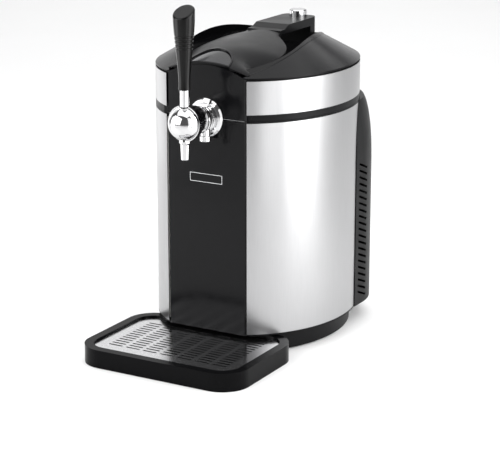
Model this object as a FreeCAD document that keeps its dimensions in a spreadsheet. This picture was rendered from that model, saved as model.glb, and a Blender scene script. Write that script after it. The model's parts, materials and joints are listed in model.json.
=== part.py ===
import FreeCAD, Part
import math
import os
import re

import Sketcher
from FreeCAD import Placement, Rotation, Vector

# Mini keg beer dispenser. Millimetres, X to the right seen from the tap, Y to the back, Z up.
# The origin is on the table under the centre of the oval body.

doc = FreeCAD.newDocument("mini_keg_dispenser")

# Driving dimensions, each a named cell of the sheet.

SIZES = {
    # Oval body, seen from above
    "body_half_width": 130.0,
    "body_half_depth": 153.0,
    "front_flat": 136.0,
    "shell_wall": 0.8,
    "running_gap": 0.3,
    "panel_wall": 3.5,
    "panel_chamfer": 2.5,
    "panel_side_gap": 0.8,
    # Levels of the body
    "foot_height": 2.0,
    "foot_radius": 9.0,
    "foot_peg": 3.0,
    "foot_reach_x": 78.0,
    "foot_reach_y": 84.0,
    "plinth_half_width": 119.0,
    "plinth_half_depth": 145.0,
    "plinth_top": 26.0,
    "plinth_wall": 3.0,
    "plinth_front": 103.45,
    "rim_height": 2.4,
    "deck_low": 305.0,
    "seam_low": 309.0,
    "deck_top": 311.3,
    # Keg chamber
    "chamber_radius": 90.0,
    "chamber_forward": 26.0,
    "chamber_floor": 51.5,
    "liner_wall": 1.5,
    "bay_front": 80.0,
    # Cooling unit
    "cooler_level": 170.0,
    "block_side": 40.0,
    "block_end": 84.0,
    "module_depth": 4.0,
    "sink_side": 92.0,
    "sink_base": 5.0,
    "sink_fin": 22.0,
    "fin_count": 17,
    "fin_wall": 1.6,
    "fan_depth": 25.0,
    "fan_bore": 43.0,
    "fan_hub": 18.0,
    "fan_blades": 7,
    # Rear cover
    "cover_narrower": 4.5,
    "cover_deeper": 7.0,
    "cover_corner": 91.0,
    "cover_wall": 2.5,
    "cover_shoulder": 222.0,
    "cover_crest": 316.0,
    "cover_front": 45.0,
    "louvre_height": 3.0,
    "louvre_pitch": 9.0,
    "louvre_count": 21,
    "grille_count": 16,
    "grille_offset": 26.0,
    "grille_half_width": 21.0,
    # Lid
    "lid_low": 311.8,
    "band_low": 320.0,
    "band_top": 363.0,
    "dome_low": 366.0,
    "dome_rise": 77.0,
    "dome_edge": 0.7,
    "dome_wall": 3.0,
    "well_half_width": 82.0,
    "well_forward": 41.0,
    "well_front": 128.0,
    "well_back": 165.0,
    "well_floor": 372.0,
    "well_wall": 2.5,
    "well_lip": 0.6,
    "arch_top": 379.0,
    "arch_radius": 123.7,
    "spine_wall": 3.0,
    "handle_half_width": 25.0,
    "handle_top": 407.7,
    "handle_thickness": 11.0,
    "handle_back": 121.0,
    "leg_depth": 22.0,
    "ceiling_low": 343.0,
    "ceiling_wall": 3.0,
    # Release button and latch
    "button_radius": 12.0,
    "button_place": 109.5,
    "button_top": 416.5,
    "button_height": 9.6,
    "button_stem": 4.0,
    "button_travel": 4.0,
    "latch_side": 36.0,
    "latch_width": 6.0,
    "latch_level": 352.0,
    "latch_thickness": 4.0,
    "latch_arm_height": 6.0,
    "latch_arm_end": 6.0,
    "latch_arm_front": 2.0,
    "latch_arm_back": 8.0,
    # Hinge
    "hinge_behind": 6.0,
    "hinge_level": 316.0,
    "hinge_radius": 5.0,
    "hinge_pin": 2.0,
    "hinge_half_width": 26.0,
    "knuckle_half_width": 13.7,
    # Tap
    "tap_level": 313.5,
    "tap_reach": 187.5,
    "shank_level": 311.5,
    "ball_radius": 21.4,
    "ring_radius": 23.1,
    "ring_depth": 10.0,
    "flange_radius": 25.2,
    "flange_depth": 5.0,
    "collar_radius": 18.0,
    "shank_radius": 11.0,
    "shank_bore": 5.0,
    "shank_inside": 14.0,
    "shank_outside": 17.0,
    "nut_depth": 6.0,
    "elbow_radius": 7.5,
    "elbow_depth": 8.0,
    "coupler_radius": 6.0,
    "coupler_length": 28.0,
    "stem_radius": 6.0,
    "stem_top": 356.0,
    "lever_top": 463.0,
    "spout_top": 291.5,
    "spout_low": 267.0,
    "spout_radius": 6.0,
    "spout_tip": 5.3,
    "nut_width": 27.0,
    "adjuster_radius": 7.5,
    "adjuster_side": 7.0,
    "adjuster_forward": 8.6,
    "adjuster_low": 283.5,
    "adjuster_top": 292.5,
    "hose_radius": 4.0,
    "hose_bore": 2.5,
    # Drip tray
    "tray_half_width": 119.4,
    "tray_front": 272.8,
    "tray_back": 103.5,
    "tray_height": 24.3,
    "tray_corner": 37.0,
    "tray_wall": 3.0,
    "tray_ledge": 12.0,
    "grid_level": 20.0,
    "grid_thickness": 1.2,
    "slot_length": 21.0,
    "slot_width": 3.0,
    "slot_pitch_x": 26.0,
    "slot_pitch_y": 8.0,
    "slot_columns": 7,
    "slot_rows": 13,
}

sheet = doc.addObject("Spreadsheet::Sheet", "Sizes")
for row, (alias, value) in enumerate(SIZES.items(), 1):
    sheet.set(f"A{row}", alias.replace("_", " "))
    sheet.set(f"B{row}", str(value))
    sheet.setAlias(f"B{row}", alias)
doc.recompute()


def size(alias):
    """Read one driving dimension back from the sheet."""
    return float(sheet.get(alias))


def bound(text):
    """Turn an expression over the aliases into one that names the sheet."""
    return re.sub(r"[a-z][a-z_]+", lambda word: prefixed(word.group()), text)


def prefixed(word):
    return "Sizes." + word if word in SIZES else word


def worth(text):
    """What an expression over the aliases comes to now."""
    return float(sheet.evalExpression(bound(text)))


# Helpers for primitives and booleans whose sizes are bound to the sheet.

SUB_PARTS = []


def keep(thing, name):
    """Give a finished sub-part its label and put it on the list to write."""
    thing.Label = name
    SUB_PARTS.append(thing)
    return thing


def bind(thing, **cells):
    for name, text in cells.items():
        thing.setExpression(name, bound(text))
    return thing


def place(thing, x="0", y="0", z="0"):
    for axis, text in zip("xyz", (x, y, z)):
        thing.setExpression("Placement.Base." + axis, bound(text))
    return thing


def box(name, x, y, z, width, depth, height):
    """A box from its low corner and its three sizes."""
    solid = doc.addObject("Part::Box", name)
    bind(solid, Length=width, Width=depth, Height=height)
    return place(solid, x, y, z)


def upright(name, radius, low, height, x="0", y="0"):
    """A vertical cylinder."""
    solid = doc.addObject("Part::Cylinder", name)
    bind(solid, Radius=radius, Height=height)
    return place(solid, x, y, low)


def lying(name, radius, start, length, x="0", z="0"):
    """A cylinder along Y that starts at the given Y."""
    solid = doc.addObject("Part::Cylinder", name)
    bind(solid, Radius=radius, Height=length)
    solid.Placement = Placement(Vector(), Rotation(Vector(1, 0, 0), -90))
    return place(solid, x, start, z)


def crosswise(name, radius, start, length, y, z):
    """A cylinder along X that starts at the given X."""
    solid = doc.addObject("Part::Cylinder", name)
    bind(solid, Radius=radius, Height=length)
    solid.Placement = Placement(Vector(), Rotation(Vector(0, 1, 0), 90))
    return place(solid, start, y, z)


def ball(name, radius, y, z):
    solid = doc.addObject("Part::Sphere", name)
    bind(solid, Radius=radius)
    return place(solid, "0", y, z)


def cut(name, base, *tools):
    """Take tools away from base."""
    solid = doc.addObject("Part::Cut", name)
    solid.Base = base
    solid.Tool = tools[0] if len(tools) == 1 else fuse(name + "_tools", *tools)
    return solid


def fuse(name, *solids):
    solid = doc.addObject("Part::MultiFuse", name)
    solid.Shapes = list(solids)
    return solid


def common(name, base, tool):
    solid = doc.addObject("Part::Common", name)
    solid.Base = base
    solid.Tool = tool
    return solid


def computed(name, shape):
    """A feature whose shape comes from Part's own functions."""
    solid = doc.addObject("Part::Feature", name)
    solid.Shape = shape
    return solid


# Helpers for bodies made from sketches.

def sketch_on(body, name, role):
    sketch = body.newObject("Sketcher::SketchObject", name)
    plane = [part for part in body.Origin.OriginFeatures if part.Role == role][0]
    sketch.AttachmentSupport = [(plane, "")]
    sketch.MapMode = "FlatFace"
    return sketch


def draw_outline(sketch, points):
    """Draw a closed outline of straight lines and bind every corner to the sheet."""
    spots = [Vector(worth(x), worth(y), 0) for x, y in points]
    count = len(points)
    for index in range(count):
        sketch.addGeometry(Part.LineSegment(spots[index], spots[(index + 1) % count]))
    for index in range(count):
        sketch.addConstraint(Sketcher.Constraint("Coincident", index, 2, (index + 1) % count, 1))
    for index, (x, y) in enumerate(points):
        hold_point(sketch, index, 1, x, y)


def hold_point(sketch, geometry, end, x, y):
    for kind, text in (("DistanceX", x), ("DistanceY", y)):
        number = sketch.addConstraint(Sketcher.Constraint(kind, -1, 1, geometry, end, worth(text)))
        sketch.setExpression(f"Constraints[{number}]", bound(text))


def turned(name, points):
    """A body turned about its own Z axis from a half outline of radii and levels."""
    body = doc.addObject("PartDesign::Body", name + "_body")
    sketch = sketch_on(body, name + "_profile", "XZ_Plane")
    draw_outline(sketch, points)
    turn = body.newObject("PartDesign::Revolution", name + "_turn")
    turn.Profile = sketch
    turn.ReferenceAxis = (sketch, ["V_Axis"])
    turn.Angle = 360
    body.Tip = turn
    return body


def padded(name, role, points, length):
    """A body padded from an outline."""
    body = doc.addObject("PartDesign::Body", name + "_body")
    sketch = sketch_on(body, name + "_profile", role)
    draw_outline(sketch, points)
    pad = body.newObject("PartDesign::Pad", name + "_pad")
    pad.Profile = sketch
    bind(pad, Length=length)
    body.Tip = pad
    return body


def along_y(body, y, z="0", x="0"):
    """Lay a turned body down so that its own Z axis points to the front."""
    body.Placement = Placement(Vector(), Rotation(Vector(1, 0, 0), 90))
    return place(body, x, y, z)


# Solids on the oval plan. The oval is an ellipse, cut flat at the front.

def ellipse_wire(half_width, half_depth, level, middle=0.0):
    centre = Vector(0, middle, level)
    if half_width >= half_depth:
        curve = Part.Ellipse(centre + Vector(half_width, 0, 0), centre + Vector(0, half_depth, 0), centre)
    else:
        curve = Part.Ellipse(centre + Vector(0, half_depth, 0), centre + Vector(-half_width, 0, 0), centre)
    return Part.Wire([curve.toShape()])


def ellipse_prism(half_width, half_depth, low, high):
    face = Part.Face(ellipse_wire(half_width, half_depth, low))
    return face.extrude(Vector(0, 0, high - low))


def block(low, high):
    """A box from its low corner to its high corner."""
    corner = Vector(*low)
    span = Vector(*high) - corner
    return Part.makeBox(span.x, span.y, span.z, corner)


FAR = 1000.0


def oval(inset, low, high, front=None):
    """The body's plan drawn in by an inset, between two levels, cut flat at the front."""
    solid = ellipse_prism(size("body_half_width") - inset, size("body_half_depth") - inset, low, high)
    flat = size("front_flat") - inset if front is None else front
    return solid.cut(block((-FAR, -2 * FAR, low - 1), (FAR, -flat, high + 1)))


def oval_ring(outer, inner, low, high, front=None, inner_front=None):
    solid = oval(outer, low, high, front)
    return solid.cut(oval(inner, low - 1, high + 1, inner_front))


PANEL_BACK = size("front_flat") - size("panel_wall") - 0.2
BODY_LOW = size("plinth_top") + size("rim_height")


# Plinth, feet and bottom rim

def make_plinth():
    low = size("foot_height")
    high = size("plinth_top")
    wall = size("plinth_wall")
    outer = ellipse_prism(size("plinth_half_width"), size("plinth_half_depth"), low, high)
    outer = outer.cut(block((-FAR, -FAR, low - 1), (FAR, -size("plinth_front"), high + 1)))
    inner = ellipse_prism(size("plinth_half_width") - wall, size("plinth_half_depth") - wall, low + wall, high + 1)
    inner = inner.cut(block((-FAR, -FAR, low), (FAR, wall - size("plinth_front"), high + 2)))
    solid = outer.cut(inner)
    for x, y in FOOT_PLACES:
        spot = Vector(x * size("foot_reach_x"), y * size("foot_reach_y"), 0)
        solid = solid.cut(Part.makeCylinder(size("foot_peg") + 0.1, high, spot))
    keep(computed("plinth", solid), "base_plinth")


FOOT_PLACES = ((-1, -1), (-1, 1), (1, -1), (1, 1), (0, 0))


def make_feet():
    """One foot near each corner and one in the middle, each with a peg through the plinth."""
    feet = []
    for number, (x, y) in enumerate(FOOT_PLACES, 1):
        spot = (f"{x}*foot_reach_x", f"{y}*foot_reach_y")
        feet.append(upright(f"foot_pad_{number}", "foot_radius", "0", "foot_height", *spot))
        feet.append(upright(f"foot_peg_{number}", "foot_peg", "0", "foot_height + plinth_wall", *spot))
    keep(fuse("feet", *feet), "rubber_feet")


def make_bottom_rim():
    low = size("plinth_top")
    lip = size("shell_wall") + size("running_gap")
    plate = oval(0, low, BODY_LOW, PANEL_BACK)
    step = oval(lip, BODY_LOW, BODY_LOW + 3, PANEL_BACK)
    keep(computed("bottom", plate.fuse(step)), "bottom_rim")


# Steel shell, front panel, deck

def steel_band(low, high, back):
    wall = size("shell_wall")
    ring = oval_ring(0, wall, low, high, FAR, FAR)
    ring = ring.cut(block((-STEEL_EDGE, -FAR, low - 1), (STEEL_EDGE, 0, high + 1)))
    if back is not None:
        ring = ring.cut(block((-FAR, back, low - 1), (FAR, FAR, high + 1)))
    return ring


def flat_half_width():
    """Half the width of the flat front, where the ellipse meets it."""
    share = size("front_flat") / size("body_half_depth")
    return size("body_half_width") * math.sqrt(1 - share ** 2)


STEEL_EDGE = flat_half_width()


def make_shell():
    keep(computed("shell", steel_band(BODY_LOW, size("seam_low"), size("bay_front"))), "steel_shell")


def panel_plate(low, high):
    """The flat front plate with chamfered upright edges."""
    front = size("front_flat")
    back = front - size("panel_wall")
    half = STEEL_EDGE - size("panel_side_gap")
    chamfer = size("panel_chamfer")
    points = [(-half, -back), (-half, chamfer - front), (chamfer - half, -front),
              (half - chamfer, -front), (half, chamfer - front), (half, -back)]
    corners = [Vector(x, y, low) for x, y in points]
    return Part.Face(Part.makePolygon(corners + corners[:1])).extrude(Vector(0, 0, high - low))


def shank_hole(gap):
    """The round passage of the tap's shank through the front wall."""
    radius = size("shank_radius") + gap
    start = Vector(0, -FAR, size("shank_level"))
    return Part.makeCylinder(radius, FAR, start, Vector(0, 1, 0))


def make_lower_panel():
    plate = panel_plate(size("plinth_top"), size("deck_top"))
    keep(computed("lower_panel", plate.cut(shank_hole(0.1))), "front_panel")


def shank_trough(low):
    """Room for the shank, its nut and the hose elbow behind the front wall."""
    half = size("nut_width") / 2 + 4
    back = size("chamber_forward")
    return block((-half, -PANEL_BACK - 1, low), (half, -back, size("deck_top") + 1))


def latch_slot(low):
    middle = -size("latch_side")
    half = size("latch_width") / 2 + 2
    return block((middle - half, LATCH_FRONT - 0.8, low), (middle + half, LATCH_FRONT + 9.4, size("deck_top") + 1))


LATCH_FRONT = -size("front_flat") + 14.0


def chamber_hole(radius, low, high):
    return Part.makeCylinder(radius, high - low, Vector(0, -size("chamber_forward"), low))


def make_deck():
    lip = size("shell_wall") + size("running_gap")
    plate = oval(0, size("seam_low"), size("deck_top"), PANEL_BACK)
    step = oval(lip, size("deck_low"), size("seam_low"), PANEL_BACK)
    hole = chamber_hole(size("chamber_radius") + size("liner_wall") + 0.2, 0, FAR)
    solid = plate.fuse(step).cut(hole).cut(shank_trough(0)).cut(latch_slot(0))
    keep(computed("deck", solid), "body_collar")


# Insulation and keg chamber

def make_foam():
    lip = size("shell_wall") + size("running_gap")
    low = BODY_LOW + 3.2
    solid = oval(lip, low, size("deck_low") - 0.2, PANEL_BACK)
    solid = solid.cut(block((-FAR, size("bay_front"), 0), (FAR, FAR, FAR)))
    hole = chamber_hole(size("chamber_radius") + size("liner_wall") + 0.2, size("chamber_floor") - size("liner_wall"), FAR)
    solid = solid.cut(hole).cut(shank_trough(size("shank_level") - 18))
    solid = solid.cut(latch_slot(size("deck_low") - 12))
    half = size("block_side") / 2 + 0.3
    level = size("cooler_level")
    solid = solid.cut(block((-half, 0, level - half), (half, FAR, level + half)))
    keep(computed("foam", solid), "foam_insulation")


def make_liner():
    outer = "chamber_radius + liner_wall"
    cup = turned("liner", [
        ("0", "chamber_floor - liner_wall"),
        (outer, "chamber_floor - liner_wall"),
        (outer, "deck_top"),
        ("chamber_radius", "deck_top"),
        ("chamber_radius", "chamber_floor"),
        ("0", "chamber_floor"),
    ])
    place(cup, y="-chamber_forward")
    trough = box("liner_trough", "-nut_width/2 - 4", "-chamber_forward - chamber_radius - 10",
                 "shank_level - 18", "nut_width + 8", "30", "40")
    keep(cut("liner_cup", cup, trough), "keg_chamber")


# Cooling unit behind the chamber

def make_cooling_unit():
    curve = upright("cold_curve", "chamber_radius + liner_wall + 0.05", "cooler_level - block_side", "2*block_side",
                    y="-chamber_forward")
    bar = box("cold_bar", "-block_side/2", "0", "cooler_level - block_side/2", "block_side", "block_end", "block_side")
    keep(cut("cold_bar_cut", bar, curve), "cold_block")
    keep(box("module", "-block_side/2", "block_end + 0.1", "cooler_level - block_side/2",
             "block_side", "module_depth - 0.2", "block_side"), "thermoelectric_module")
    make_heat_sink()
    make_fan()


def make_heat_sink():
    base = box("sink_plate", "-sink_side/2", "block_end + module_depth", "cooler_level - sink_side/2",
               "sink_side", "sink_base", "sink_side")
    fins = []
    for number in range(int(size("fin_count"))):
        across = f"-sink_side/2 + {number}*(sink_side - fin_wall)/(fin_count - 1)"
        fins.append(box(f"sink_fin_{number}", across, "block_end + module_depth + sink_base - 0.1",
                        "cooler_level - sink_side/2", "fin_wall", "sink_fin + 0.1", "sink_side"))
    keep(fuse("sink", base, *fins), "heat_sink")


FAN_START = "block_end + module_depth + sink_base + sink_fin"


def make_fan():
    start = FAN_START + " + 0.2"
    frame = box("fan_square", "-sink_side/2", start, "cooler_level - sink_side/2", "sink_side", "fan_depth", "sink_side")
    bore = lying("fan_opening", "fan_bore", start + " - 1", "fan_depth + 2", z="cooler_level")
    holes = []
    for number, (x, z) in enumerate(((-1, -1), (-1, 1), (1, -1), (1, 1)), 1):
        holes.append(lying(f"fan_hole_{number}", "2.2", start + " - 1", "fan_depth + 2",
                           f"{x}*(sink_side/2 - 5)", f"cooler_level + {z}*(sink_side/2 - 5)"))
    shell = cut("fan_shell", frame, bore, *holes)
    struts = []
    for number, (width, height) in enumerate((("2*fan_bore + 2", "5"), ("5", "2*fan_bore + 2"))):
        struts.append(box(f"fan_strut_{number}", f"-({width})/2", start + " + fan_depth - 3",
                          f"cooler_level - ({height})/2", width, "3", height))
    disc = lying("fan_motor", "fan_hub - 1", start + " + fan_depth - 4", "4", z="cooler_level")
    pin = lying("fan_axle", "2", start + " + 5", "fan_depth - 6", z="cooler_level")
    keep(fuse("fan_case", shell, disc, pin, *struts), "fan_frame")
    make_rotor(start)


def make_rotor(start):
    first = worth(start)
    level = size("cooler_level")
    hub_radius = size("fan_hub")
    depth = size("fan_depth") - 6
    along = Vector(0, 1, 0)
    hub = Part.makeCylinder(hub_radius, depth, Vector(0, first + 1, level), along)
    hub = hub.cut(Part.makeCylinder(2.05, depth, Vector(0, first + 3, level), along))
    count = int(size("fan_blades"))
    reach = size("fan_bore") - 1.5
    blade = block((hub_radius - 2, -1, -13), (reach, 1, 13))
    blade.rotate(Vector(0, 0, 0), Vector(1, 0, 0), 40)
    blade = blade.common(block((0, -depth / 2 + 1, -FAR), (FAR, depth / 2 - 1, FAR)))
    rim = Part.makeCylinder(reach, FAR, Vector(0, -FAR / 2, 0), along)
    blade = blade.common(rim)
    for number in range(count):
        copy = blade.copy()
        copy.rotate(Vector(), along, 360 * number / count)
        copy.translate(Vector(0, first + 1 + depth / 2, level))
        hub = hub.fuse(copy)
    bore = Part.makeCylinder(2.05, depth - 2, Vector(0, first + 3, level), along)
    keep(computed("rotor", hub.cut(bore)), "fan_rotor")


def make_electronics():
    keep(box("board_plate", "-70", "bay_front + 14", "50", "110", "1.6", "60"), "control_board")
    post_ends = []
    for number, (x, z) in enumerate(((-64, 56), (-64, 104), (34, 56), (34, 104)), 1):
        post_ends.append(lying(f"board_post_{number}", "3", "bay_front + 0.1", "13.9", str(x), str(z)))
    keep(fuse("board_posts", *post_ends), "board_standoffs")


# Rear cover with its louvres

COVER_SIDE = size("body_half_width") - size("cover_narrower")
COVER_BACK = size("body_half_depth") + size("cover_deeper")


def cover_wire(share, level, inset):
    """The cover's plan at one level. The share of its full bulge runs from 0 to 1."""
    side = COVER_SIDE - 6 * (1 - share) - inset
    back = COVER_BACK - 6.5 * (1 - share) - inset
    corner = size("cover_corner") + 27.5 * (1 - share) - inset
    slant = math.sqrt(0.5)
    centre_y = back - corner
    right = Vector(side - corner, centre_y, level)
    left = Vector(corner - side, centre_y, level)
    diagonal = corner * slant
    front = Vector(0, 0, level)
    edges = [
        Part.LineSegment(Vector(side, 0, level), Vector(side, centre_y, level)),
        Part.Arc(Vector(side, centre_y, level), right + Vector(diagonal, diagonal, 0),
                 Vector(right.x, back, level)),
        Part.LineSegment(Vector(right.x, back, level), Vector(left.x, back, level)),
        Part.Arc(Vector(left.x, back, level), left + Vector(-diagonal, diagonal, 0),
                 Vector(-side, centre_y, level)),
        Part.LineSegment(Vector(-side, centre_y, level), Vector(-side, front.y, level)),
        Part.LineSegment(Vector(-side, front.y, level), Vector(side, front.y, level)),
    ]
    return Part.Wire([edge.toShape() for edge in edges])


def cover_share(level):
    shoulder = size("cover_shoulder")
    if level <= shoulder:
        return 1.0
    climb = (level - shoulder) / (size("cover_crest") - shoulder)
    return math.sqrt(max(0.0, 1 - climb ** 2))


def cover_solid(inset, low, high):
    """The space inside the cover's outline, straight to the shoulder and bulged above it."""
    shoulder = size("cover_shoulder")
    straight = Part.makeLoft([cover_wire(1, low, inset), cover_wire(1, shoulder, inset)], True, True)
    levels = [shoulder + (high - shoulder) * step for step in (0, 0.3, 0.55, 0.75, 0.9, 1)]
    bulged = Part.makeLoft([cover_wire(cover_share(level), level, inset) for level in levels], True, False)
    return straight.fuse(bulged)


def louvres():
    """Slanted slots through both side walls and level slots through the back wall."""
    slots = []
    height = size("louvre_height")
    pitch = size("louvre_pitch")
    for number in range(int(size("louvre_count"))):
        for side in (-1, 1):
            slot = block((side * COVER_SIDE - 8, -13, -height / 2),
                         (side * COVER_SIDE + 8, 13, height / 2))
            slot.rotate(Vector(), Vector(1, 0, 0), -22)
            slot.translate(Vector(0, 66, 40 + pitch * number))
            slots.append(slot)
    for number in range(int(size("grille_count"))):
        for side in (-1, 1):
            middle = side * size("grille_offset")
            half = size("grille_half_width")
            low = size("cooler_level") - pitch * (size("grille_count") - 1) / 2 + pitch * number
            slots.append(block((middle - half, COVER_BACK - 8, low - height / 2),
                               (middle + half, COVER_BACK + 8, low + height / 2)))
    return slots


def make_rear_cover():
    low = size("plinth_top")
    high = size("deck_top") - 0.3
    wall = size("cover_wall")
    shell = cover_solid(0, low, high).cut(cover_solid(wall, low + wall, high - wall))
    gap = size("running_gap")
    body = ellipse_prism(size("body_half_width") + gap, size("body_half_depth") + gap, 0, FAR)
    shell = shell.cut(body.cut(block((-FAR, size("bay_front") + 2, low + wall), (FAR, FAR, high - wall))))
    shell = shell.cut(block((-FAR, -FAR, 0), (FAR, size("cover_front"), FAR)))
    for slot in louvres():
        shell = shell.cut(slot)
    shell = shell.cut(hinge_notch())
    shell = shell.cut(inlet_hole(0.2))
    keep(computed("cover", shell), "rear_cover")


def hinge_notch():
    half = size("hinge_half_width") + 0.5
    return block((-half, size("body_half_depth") - 10, HINGE_FOOT - 0.2), (half, FAR, FAR))


HINGE_FOOT = size("deck_top") - 15.0


INLET_X = 0.0
INLET_LEVEL = 52.0


def inlet_hole(gap):
    half_width = 14.0 + gap
    half_height = 10.0 + gap
    return block((INLET_X - half_width, COVER_BACK - 30, INLET_LEVEL - half_height),
                 (INLET_X + half_width, FAR, INLET_LEVEL + half_height))


def make_inlet():
    back = COVER_BACK
    shell = block((INLET_X - 14, back - 22, INLET_LEVEL - 10), (INLET_X + 14, back + 0.5, INLET_LEVEL + 10))
    socket = block((INLET_X - 12, back - 17, INLET_LEVEL - 8), (INLET_X + 12, FAR, INLET_LEVEL + 8))
    shell = shell.cut(socket)
    for x, z in ((-7, -1.5), (0, 2.5), (7, -1.5)):
        pin = block((INLET_X + x - 1, back - 19, INLET_LEVEL + z - 2), (INLET_X + x + 1, back - 4, INLET_LEVEL + z + 2))
        shell = shell.fuse(pin)
    keep(computed("inlet", shell), "power_inlet")


# Lid: frame, steel band, front panel, dome, well

def shank_slot():
    """Room in the lid for the upper half of the shank, its nut and the elbow."""
    half = size("nut_width") / 2 + 3
    return block((-half, -FAR, size("lid_low") - 1), (half, -size("front_flat") + 20, size("shank_level") + half + 2))


def make_lid_frame():
    low = size("lid_low")
    rim = oval_ring(0, 4, low, size("band_low"), PANEL_BACK, PANEL_BACK - 3)
    flange = oval_ring(3, 10, low, low + 4.2, PANEL_BACK, PANEL_BACK - 9)
    groove = oval_ring(5, 9, low - 1, low + 2.2, PANEL_BACK - 4, PANEL_BACK - 8)
    wall = oval_ring(size("shell_wall") + 0.1, 4, size("band_low"), size("band_top"), PANEL_BACK, PANEL_BACK - 3)
    ledge = oval_ring(3, 9, size("band_top"), size("dome_low"), PANEL_BACK, PANEL_BACK - 6)
    solid = rim.fuse([flange, wall, ledge]).cut(groove).cut(shank_slot())
    keep(computed("lid_ring", solid), "lid_frame")


def make_lid_seal():
    low = size("deck_top") + 0.2
    ring = oval_ring(5.2, 8.8, low, size("lid_low") + 2, PANEL_BACK - 4.2, PANEL_BACK - 7.8)
    keep(computed("gasket", ring.cut(shank_slot())), "lid_seal")


def make_lid_band():
    keep(computed("band", steel_band(size("band_low"), size("band_top"), None)), "lid_band")


def arch_prism(lift, back):
    """All that lies under the arch of the front panel's top edge."""
    radius = size("arch_radius")
    middle = Vector(0, -size("front_flat") - 1, size("arch_top") + lift - radius)
    return Part.makeCylinder(radius, back + 1, middle, Vector(0, 1, 0))


def make_upper_panel():
    plate = panel_plate(size("lid_low"), size("arch_top") + 5)
    plate = plate.common(arch_prism(0, size("panel_wall")))
    keep(computed("upper_panel", plate.cut(shank_hole(0.4))), "lid_front_panel")


def rim_profile():
    """Inset and rise of the rounded rim, from the upright side to the slope of the roof."""
    edge = size("dome_edge")
    run = 0.85 * edge
    slope = math.atan2(size("dome_rise"), size("body_half_width"))
    side = Vector(0, edge - run, 0)
    corner = Vector(0, edge, 0)
    roof = Vector(run * math.cos(slope), edge + run * math.sin(slope), 0)
    points = []
    for share in (0, 0.33, 0.67, 1):
        points.append(side * (1 - share) ** 2 + corner * (2 * share * (1 - share)) + roof * share ** 2)
    return [(point.x, point.y) for point in points]


def dome_cone(drop, low):
    """The oval cone of the lid's roof with its rounded rim, lowered by a drop."""
    width = size("body_half_width")
    depth = size("body_half_depth")
    start = size("dome_low") - drop
    end = start + size("dome_edge") + size("dome_rise") * (1 - TOP_SHARE)
    wires = [ellipse_wire(width, depth, low)]
    for inset, rise in rim_profile():
        wires.append(ellipse_wire(width - inset, depth - inset, start + rise))
    wires.append(ellipse_wire(width * TOP_SHARE, depth * TOP_SHARE, end))
    return Part.makeLoft(wires, True, True)


TOP_SHARE = 0.25


def well_wire(inset, level):
    """The plan of the well in the lid: two half ellipses with one width."""
    half = size("well_half_width") - inset
    front = size("well_front") - inset
    back = size("well_back") - inset
    middle = -size("well_forward")
    edges = [half_ellipse(half, back, middle, level, 1), half_ellipse(half, front, middle, level, -1)]
    return Part.Wire(Part.__sortEdges__(edges))


def half_ellipse(half, reach, middle, level, side):
    """Half an ellipse to the back (side 1) or to the front (side -1)."""
    centre = Vector(0, middle, level)
    if reach >= half:
        curve = Part.Ellipse(centre + Vector(0, side * reach, 0), centre + Vector(-side * half, 0, 0), centre)
        return Part.ArcOfEllipse(curve, -math.pi / 2, math.pi / 2).toShape()
    curve = Part.Ellipse(centre + Vector(side * half, 0, 0), centre + Vector(0, side * reach, 0), centre)
    return Part.ArcOfEllipse(curve, 0, math.pi).toShape()


def well_prism(inset, low, high):
    return Part.Face(well_wire(inset, low)).extrude(Vector(0, 0, high - low))


def make_dome():
    low = size("dome_low")
    wall = size("dome_wall")
    outer = dome_cone(0, low - 1).cut(block((-FAR, -FAR, 0), (FAR, FAR, low)))
    outer = outer.cut(block((-FAR, -FAR, 0), (FAR, -size("front_flat"), FAR)))
    inner = dome_cone(wall, low - 5).cut(block((-FAR, -FAR, 0), (FAR, wall - size("front_flat"), FAR)))
    solid = outer.cut(inner).cut(well_prism(0, 0, FAR))
    solid = solid.cut(arch_prism(0.2, size("panel_wall") + 0.4))
    solid = solid.fuse(oval_ring(1.5, 9, low, low + 1.5, PANEL_BACK, PANEL_BACK - 6).cut(well_prism(0, 0, FAR)))
    keep(computed("dome", solid), "lid_dome")


def well_bowl(gap):
    """The hollow of the well, drawn in by a gap."""
    steps = ((0, 22), (2, 14), (7, 7), (16, 3.5), (60, size("well_wall")))
    wires = [well_wire(inset + gap, size("well_floor") + rise) for rise, inset in steps]
    return Part.makeLoft(wires, True, False)


def make_well():
    low = size("well_floor") - size("ceiling_wall")
    solid = well_prism(0.2, low, FAR).common(dome_cone(-size("well_lip"), low - 10))
    solid = solid.cut(well_bowl(0))
    solid = solid.cut(block((-FAR, -FAR, 0), (FAR, -size("front_flat") + 8, FAR)))
    stem = Part.makeCylinder(size("button_stem") + 0.4, FAR, Vector(0, size("button_place"), 0))
    keep(computed("well", solid.cut(stem)), "lid_well")


def well_side(gap):
    """The well's wall and the roof around it, grown by a gap."""
    around = well_prism(-20, 300, FAR).cut(well_bowl(gap))
    return around.common(dome_cone(-size("well_lip") - gap, 300))


# Spine: the crowned cover from the front arch to the handle

SPINE_STATIONS = (
    # place along Y, half width, level of the edges, level of the crown
    (-136.0, 53.0, 367.0, 379.0),
    (-110.0, 54.5, 371.5, 391.0),
    (-86.0, 56.5, 376.0, 397.0),
    (-61.0, 63.0, 381.0, 399.5),
    (-42.0, 61.5, 384.0, 400.5),
    (-21.0, 53.0, 389.6, 401.2),
    (2.0, 29.5, 397.5, 401.8),
    (14.0, 26.0, 399.5, 402.2),
)


def spine_wire(station, drop, inset, low):
    along, half, edge, crown = station
    half -= inset
    left = Vector(-half, along, edge - drop)
    right = Vector(half, along, edge - drop)
    edges = [
        Part.Arc(left, Vector(0, along, crown - drop), right),
        Part.LineSegment(right, Vector(half, along, low)),
        Part.LineSegment(Vector(half, along, low), Vector(-half, along, low)),
        Part.LineSegment(Vector(-half, along, low), left),
    ]
    return Part.Wire([part.toShape() for part in edges])


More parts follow.
